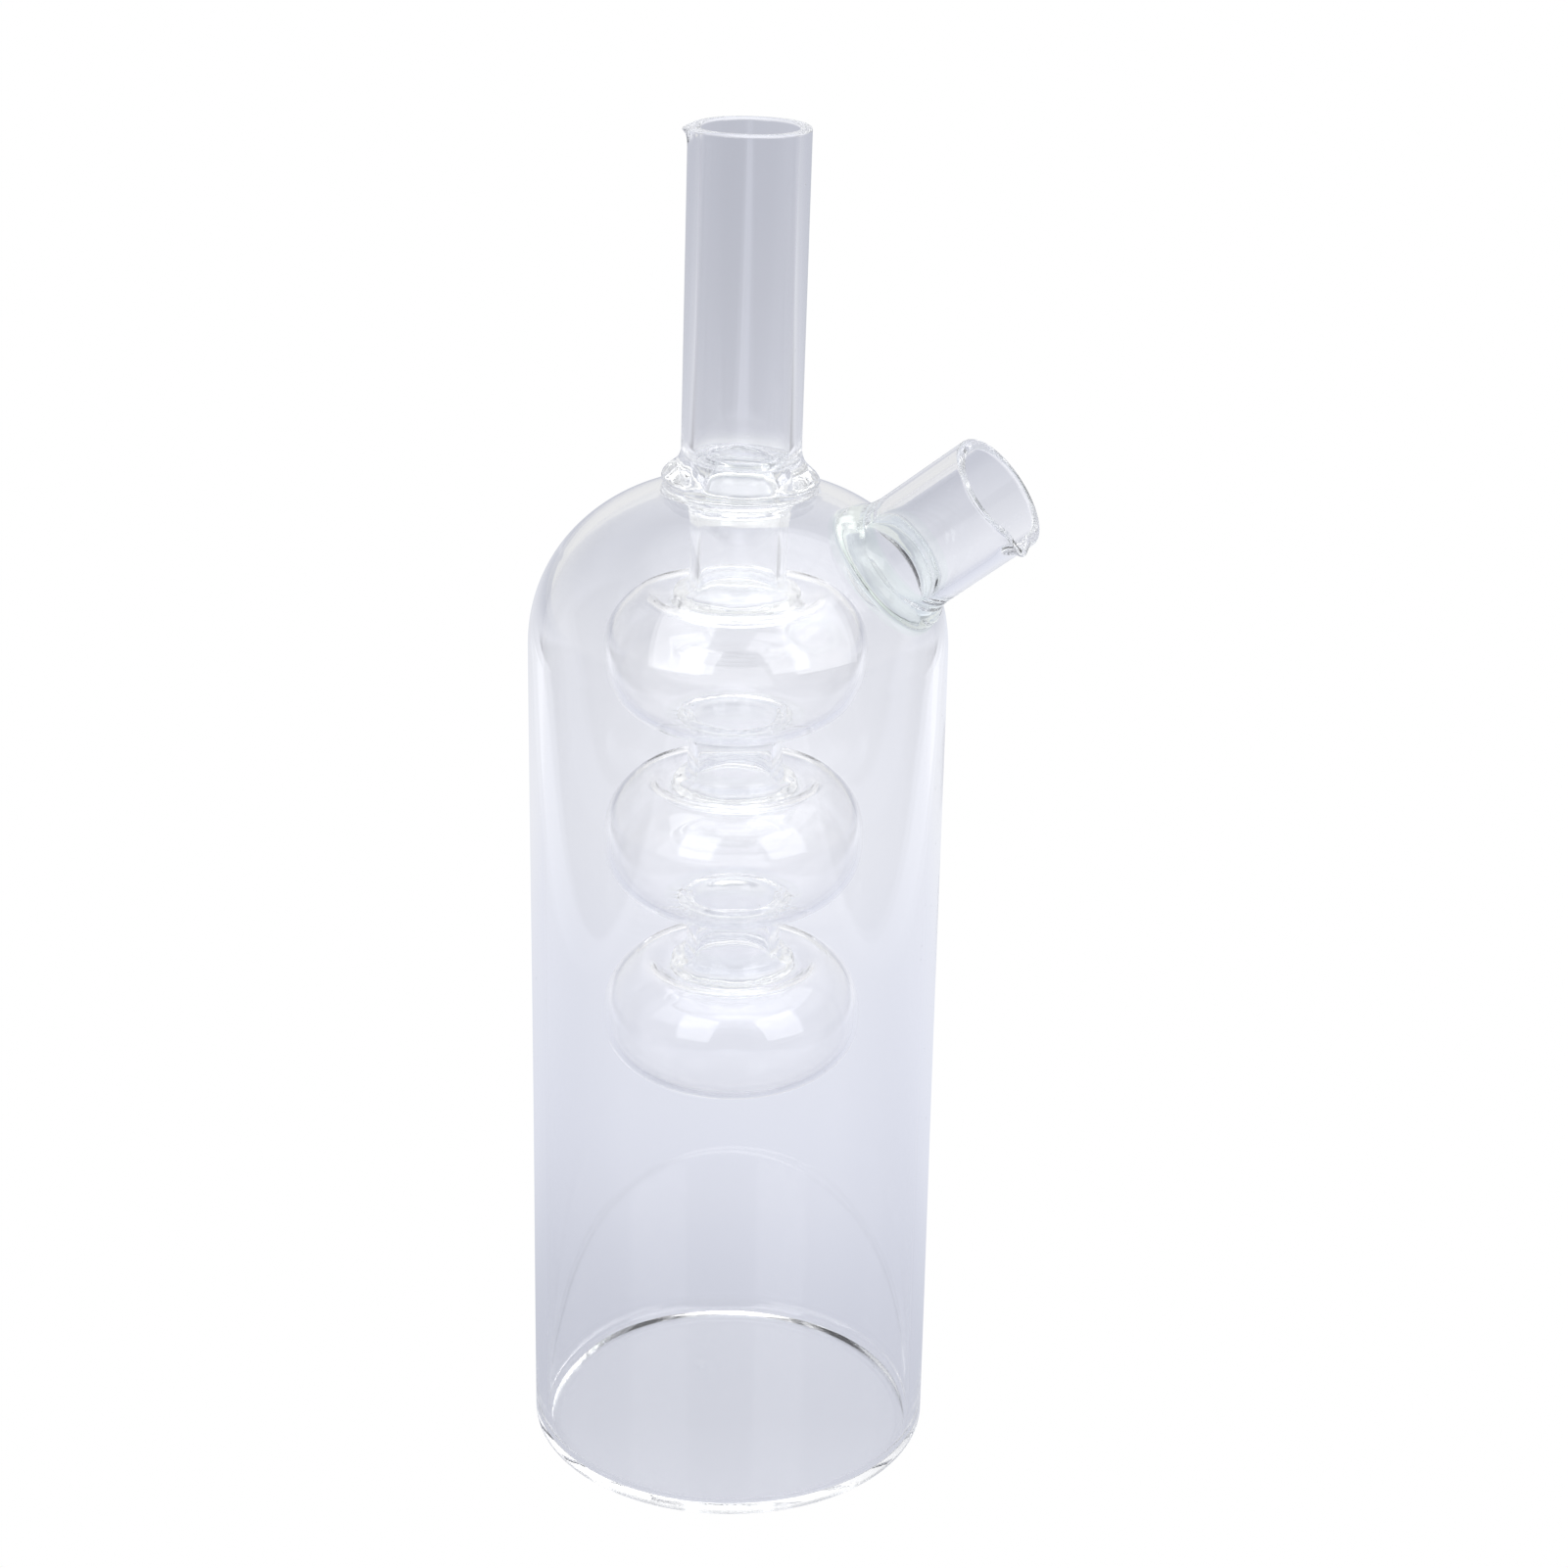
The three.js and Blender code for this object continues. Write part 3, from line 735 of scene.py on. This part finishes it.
MATS = {
    "clear_glass": glass("clear_glass", (0.990, 0.990, 0.995), 0.0, 0.00002, 24.0, 0.000001, 0.00001),
    "neck_glass": glass("neck_glass", (0.978, 0.978, 0.987), 0.0, 0.00002, 40.0, 0.000003, 0.00002),
    "core_glass": glass("core_glass", (0.991, 0.991, 0.994), 0.0, 0.00003, 60.0, 0.000001, 0.00001),
    # painted light: the seal rings' green tint, strongest on the spout's ring, stands in for the green that light
    # takes on passing edge-on through thick glass
    "seam_glass": glass("seam_glass", (0.980, 0.988, 0.983), 0.0, 0.00002, 160.0, 0.0, 0.0),
    "spout_seam_glass": glass("spout_seam_glass", (0.915, 0.964, 0.938), 0.0, 0.00002, 160.0, 0.0, 0.0),
}

for name, p in piles.items():
    v = np.vstack(p.v) * MM
    n = np.vstack(p.n)
    used = np.zeros(len(v), bool)
    for f in p.f:
        used[list(f)] = True
    remap = np.cumsum(used) - 1
    faces = [tuple(int(remap[k]) for k in f) for f in p.f]
    v, n = v[used], n[used]
    me = bpy.data.meshes.new(name + "_glass")
    me.from_pydata(v.tolist(), [], faces)
    me.update()
    me.polygons.foreach_set("use_smooth", [True] * len(me.polygons))
    me.normals_split_custom_set_from_vertices(n.tolist())
    me.materials.append(MATS["spout_seam_glass" if name == "spout_seal_ring" else SLOTS[name]])
    o = bpy.data.objects.new(name + "_glass", me)
    bpy.context.scene.collection.objects.link(o)
    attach(o, BODY)
    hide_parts(name)

# ---------------------------------------------------------------------- stage
def emission_by_ray(nt, seen_rgb, seen_strength, other_socket):
    """White to the camera; to the glass, the floor's lavender-grey with painted light and shade on it."""
    lp = nt.nodes.new("ShaderNodeLightPath")
    white = nt.nodes.new("ShaderNodeEmission")
    white.inputs["Color"].default_value = (*seen_rgb, 1)
    white.inputs["Strength"].default_value = seen_strength
    mix = nt.nodes.new("ShaderNodeMixShader")
    nt.links.new(lp.outputs["Is Camera Ray"], mix.inputs[0])
    nt.links.new(other_socket, mix.inputs[1])
    nt.links.new(white.outputs[0], mix.inputs[2])
    return mix.outputs[0]


def math_node(nt, op, a, b=None, c=None, clamp=False):
    n = nt.nodes.new("ShaderNodeMath")
    n.operation = op
    n.use_clamp = clamp
    for i, v in enumerate((a, b, c)):
        if v is None:
            continue
        if isinstance(v, (int, float)):
            n.inputs[i].default_value = v
        else:
            nt.links.new(v, n.inputs[i])
    return n.outputs[0]


def smooth(nt, v, lo, hi, out0=0.0, out1=1.0):
    n = nt.nodes.new("ShaderNodeMapRange")
    n.interpolation_type = "SMOOTHSTEP"
    n.inputs["From Min"].default_value = lo
    n.inputs["From Max"].default_value = hi
    n.inputs["To Min"].default_value = out0
    n.inputs["To Max"].default_value = out1
    nt.links.new(v, n.inputs["Value"])
    return n.outputs[0]


def srgb(g, cool):
    """Linear colour of an 8-bit grey g whose blue is cool levels over its red."""
    r, b_ = g - 0.2 * cool, g + 0.8 * cool
    return tuple(((v / 255 + 0.055) / 1.055) ** 2.4 for v in (r, g, b_)) + (1.0,)


def set_ramp(ramp, stops, lo, hi):
    cr = ramp.color_ramp
    while len(cr.elements) > 1:
        cr.elements.remove(cr.elements[-1])
    for k, (y, g, cool) in enumerate(stops):
        e = cr.elements[0] if k == 0 else cr.elements.new((y - lo) / (hi - lo))
        e.position = (y - lo) / (hi - lo)
        e.color = srgb(g, cool)


# the floor glows: plain white to the camera, and to the glass a lavender-grey with painted light and shade
fm = bpy.data.materials.new("floor_with_painted_light")
fm.use_nodes = True
nt = fm.node_tree
nt.nodes.clear()
out = nt.nodes.new("ShaderNodeOutputMaterial")
tc = nt.nodes.new("ShaderNodeTexCoord")


def along(nt, tc, vec, socket="Object"):
    d = nt.nodes.new("ShaderNodeVectorMath")
    d.operation = "DOT_PRODUCT"
    d.inputs[1].default_value = vec
    nt.links.new(tc.outputs[socket], d.inputs[0])
    return d.outputs["Value"]


away = along(nt, tc, (*to_row(0, 1), 0))
side = along(nt, tc, (*to_row(1, 0), 0))
# painted light and shade on the lavender-grey floor: brightest a third of a metre behind the bottle, falling off
# toward the camera, with a bright band in front and a painted shadow right under the bottle
FLOOR_TINT_AND_PAINTED_LIGHT = [
    (-1.2, 190, 8), (-0.75, 195, 8), (-0.5, 208, 10), (-0.38, 244, 8), (-0.1, 240, 9), (-0.05, 217, 12), (0.0, 203, 14), (0.03, 208, 15), (0.06, 217, 15),
    (0.085, 224, 14), (0.115, 228, 14), (0.15, 230, 13), (0.20, 232, 12), (0.24, 235, 10), (0.29, 238, 8), (0.36, 238, 8), (0.43, 235, 8),
    (0.54, 227, 9), (0.66, 219, 10), (0.76, 212, 11), (0.90, 206, 12), (1.05, 202, 12), (1.3, 199, 13), (1.6, 198, 13), (2.4, 205, 12),
]
mr = nt.nodes.new("ShaderNodeMapRange")
mr.inputs["From Min"].default_value = -1.2
mr.inputs["From Max"].default_value = 2.4
nt.links.new(away, mr.inputs["Value"])
ramp = nt.nodes.new("ShaderNodeValToRGB")
set_ramp(ramp, FLOOR_TINT_AND_PAINTED_LIGHT, -1.2, 2.4)
nt.links.new(mr.outputs[0], ramp.inputs[0])
# painted light: a bright band on the floor along each side of the set, dimmer beyond it
away_w = smooth(nt, away, -0.10, 0.32, 0.012, 0.125)


def side_light_band(v):
    inner = smooth(nt, v, 0.252, 0.262)
    outer = math_node(nt, "DIVIDE", math_node(nt, "SUBTRACT", v, 0.26), away_w)
    band = math_node(nt, "MULTIPLY", inner, smooth(nt, outer, 0.9, 1.15, 1.16, 0.60))
    return math_node(nt, "ADD", band, math_node(nt, "SUBTRACT", 1.0, inner))


near = smooth(nt, away, 0.42, 0.60, 1.0, 0.0)
painted_side_light = math_node(nt, "MULTIPLY", side_light_band(side), side_light_band(math_node(nt, "MULTIPLY", side, -1.0)))
gain = math_node(nt, "ADD", 1.0, math_node(nt, "MULTIPLY", math_node(nt, "SUBTRACT", painted_side_light, 1.0), near))
# painted shade: a soft, slightly darker patch on the floor close behind the bottle, on the left
dx = math_node(nt, "ADD", side, 0.028)
dy = math_node(nt, "SUBTRACT", away, 0.052)
d2 = math_node(nt, "ADD", math_node(nt, "MULTIPLY", math_node(nt, "MULTIPLY", dx, dx), 1 / 0.045**2), math_node(nt, "MULTIPLY", math_node(nt, "MULTIPLY", dy, dy), 1 / 0.045**2))
painted_shade_blob = math_node(nt, "POWER", 2.718, math_node(nt, "MULTIPLY", d2, -1.0))
gain = math_node(nt, "SUBTRACT", gain, math_node(nt, "MULTIPLY", painted_shade_blob, 0.05))
# painted light: the floor a little brighter toward the right than the left
gain = math_node(nt, "ADD", gain, smooth(nt, side, -0.07, 0.07, -0.018, 0.022))
# painted light: toward the camera a bright patch in the middle of the floor, the rest dim
mid = math_node(nt, "MULTIPLY", smooth(nt, side, -0.17, -0.13), smooth(nt, side, 0.13, 0.17, 1.0, 0.0))
fore = smooth(nt, away, -0.46, -0.38, 1.0, 0.0)
gain = math_node(nt, "ADD", gain, math_node(nt, "MULTIPLY", math_node(nt, "MULTIPLY", mid, fore), 0.75))
mul = nt.nodes.new("ShaderNodeVectorMath")
mul.operation = "SCALE"
nt.links.new(ramp.outputs[0], mul.inputs[0])
nt.links.new(gain, mul.inputs["Scale"])
em = nt.nodes.new("ShaderNodeEmission")
nt.links.new(mul.outputs[0], em.inputs["Color"])
em.inputs["Strength"].default_value = 1.0
nt.links.new(emission_by_ray(nt, (1, 1, 1), 1.0, em.outputs[0]), out.inputs[0])

me = bpy.data.meshes.new("studio_floor")
s = 3.0
me.from_pydata([(-s, -s, -0.0002), (s, -s, -0.0002), (s, s, -0.0002), (-s, s, -0.0002)], [], [(0, 1, 2, 3)])
floor = bpy.data.objects.new("studio_floor", me)
me.materials.append(fm)
bpy.context.scene.collection.objects.link(floor)

world = bpy.data.worlds.new("studio")
bpy.context.scene.world = world
world.use_nodes = True
nt = world.node_tree
nt.nodes.clear()
out = nt.nodes.new("ShaderNodeOutputWorld")
tc = nt.nodes.new("ShaderNodeTexCoord")


up = along(nt, tc, (0, 0, 1), "Generated")
back = along(nt, tc, (*to_row(0, 1), 0), "Generated")
rgt = along(nt, tc, (*to_row(1, 0), 0), "Generated")


def sq(v):
    return math_node(nt, "MULTIPLY", v, v)


def half(v, sign):
    return sq(math_node(nt, "MAXIMUM", math_node(nt, "MULTIPLY", v, sign), 0.0))


level = math_node(nt, "MAXIMUM", math_node(nt, "ADD", sq(back), sq(rgt)), 0.0001)


def round_room(front_, back_, right_, left_):
    """A value for each side of the room, blended by azimuth."""
    t = None
    for v, sign, k in ((back, -1.0, front_), (back, 1.0, back_), (rgt, 1.0, right_), (rgt, -1.0, left_)):
        u = math_node(nt, "MULTIPLY", half(v, sign), k)
        t = u if t is None else math_node(nt, "ADD", t, u)
    return math_node(nt, "DIVIDE", t, level)


s1 = smooth(nt, up, 0.34, 0.56)
s2 = smooth(nt, up, 0.72, 0.90)
lowv = round_room(0.32, 0.84, 0.70, 0.74)
highv = round_room(0.54, 1.10, 1.30, 0.86)
v = math_node(nt, "ADD", lowv, math_node(nt, "MULTIPLY", math_node(nt, "SUBTRACT", highv, lowv), s1))
v = math_node(nt, "ADD", v, math_node(nt, "MULTIPLY", math_node(nt, "SUBTRACT", 1.70, v), s2))
# the small dark shape of the camera
front = along(nt, tc, (*(np.array([*to_row(math.sin(math.radians(4)), -math.cos(math.radians(4))), 0.6]) / math.hypot(1.0, 0.6)),), "Generated")
spot = smooth(nt, front, 0.955, 0.985, 1.0, 0.3)
mul = nt.nodes.new("ShaderNodeVectorMath")
mul.operation = "SCALE"
mul.inputs[0].default_value = (0.985, 0.99, 1.0)
nt.links.new(math_node(nt, "MULTIPLY", v, spot), mul.inputs["Scale"])
bg = nt.nodes.new("ShaderNodeBackground")
nt.links.new(mul.outputs[0], bg.inputs["Color"])
bg.inputs["Strength"].default_value = 1.0
white = nt.nodes.new("ShaderNodeBackground")
white.inputs["Color"].default_value = (1, 1, 1, 1)
lp = nt.nodes.new("ShaderNodeLightPath")
mix = nt.nodes.new("ShaderNodeMixShader")
nt.links.new(lp.outputs["Is Camera Ray"], mix.inputs[0])
nt.links.new(bg.outputs[0], mix.inputs[1])
nt.links.new(white.outputs[0], mix.inputs[2])
nt.links.new(mix.outputs[0], out.inputs[0])


def softbox(name, az, el, dist, w, h, radiance, tint=(1, 1, 1), roll=0.0):
    """A rectangular area lamp seen from the bottle at photo-frame azimuth az (0 = toward the camera, + = right) and elevation el."""
    a, e = math.radians(az), math.radians(el)
    x, y = to_row(math.sin(a) * math.cos(e), -math.cos(a) * math.cos(e))
    d = Vector((x, y, math.sin(e)))
    lamp = bpy.data.lights.new(name, "AREA")
    lamp.shape = "RECTANGLE"
    lamp.size, lamp.size_y = w, h
    lamp.energy = radiance * math.pi * w * h
    lamp.color = tint
    o = bpy.data.objects.new(name, lamp)
    o.matrix_world = Matrix.Translation(Vector((0, 0, 0.14)) + d * dist) @ d.to_track_quat("Z", "Y").to_matrix().to_4x4() @ Matrix.Rotation(roll, 4, "Z")
    o.visible_camera = False
    bpy.context.scene.collection.objects.link(o)
    return o


softbox("softbox_left", -34, 27, 1.5, 0.82, 1.22, 2.0)
softbox("softbox_right", 49, 27, 1.5, 0.98, 1.20, 1.85)
# a panel under the ceiling, more of it to the right
ceil = bpy.data.lights.new("ceiling_panel", "AREA")
ceil.shape = "RECTANGLE"
ceil.size, ceil.size_y = 1.75, 1.75
ceil.energy = 0.9 * math.pi * ceil.size * ceil.size_y
o = bpy.data.objects.new("ceiling_panel", ceil)
o.matrix_world = Matrix.Translation(Vector((*to_row(0.52, -0.13), 0.16 + 1.25))) @ Matrix.Rotation(CAM_AZ, 4, "Z")
o.visible_camera = False
bpy.context.scene.collection.objects.link(o)

# --------------------------------------------------------------------- camera
D, H, PITCH, YAW, ROLL, F, X0, Y0 = 0.517463, 0.330454, 0.3359864, 0.0158864, 0.0183313, 3110.88, 800.0, 700.0
cy, sy, cp, sp_ = math.cos(YAW), math.sin(YAW), math.cos(PITCH), math.sin(PITCH)
fwd = Vector((sy * cp, cy * cp, -sp_))
right = Vector((cy, -sy, 0))
upv = right.cross(fwd)
r2 = right * math.cos(ROLL) + upv * math.sin(ROLL)
u2 = -right * math.sin(ROLL) + upv * math.cos(ROLL)


def row_vec(v):
    x, y = to_row(v[0], v[1])
    return Vector((x, y, v[2]))


cam = bpy.data.cameras.new("camera")
co = bpy.data.objects.new("camera", cam)
X, Y, Z = row_vec(r2), row_vec(u2), -row_vec(fwd)
C = row_vec(Vector((0, -D, H)))
co.matrix_world = Matrix(((X.x, Y.x, Z.x, C.x), (X.y, Y.y, Z.y, C.y), (X.z, Y.z, Z.z, C.z), (0, 0, 0, 1)))
cam.sensor_width = 36
cam.sensor_fit = "HORIZONTAL"
cam.lens = F / 1601 * 36
cam.shift_x = (800.5 - X0) / 1601
cam.shift_y = (Y0 - 800.5) / 1601
cam.clip_start, cam.clip_end = 0.01, 50
bpy.context.scene.collection.objects.link(co)
bpy.context.scene.camera = co

sc = bpy.context.scene
sc.view_settings.view_transform = "Standard"
sc.view_settings.look = "None"
sc.view_settings.exposure = 0.0
sc.view_settings.gamma = 1.0
sc.cycles.max_bounces = 96
sc.cycles.transmission_bounces = 96
sc.cycles.glossy_bounces = 96
sc.cycles.transparent_max_bounces = 16
sc.cycles.use_denoising = True
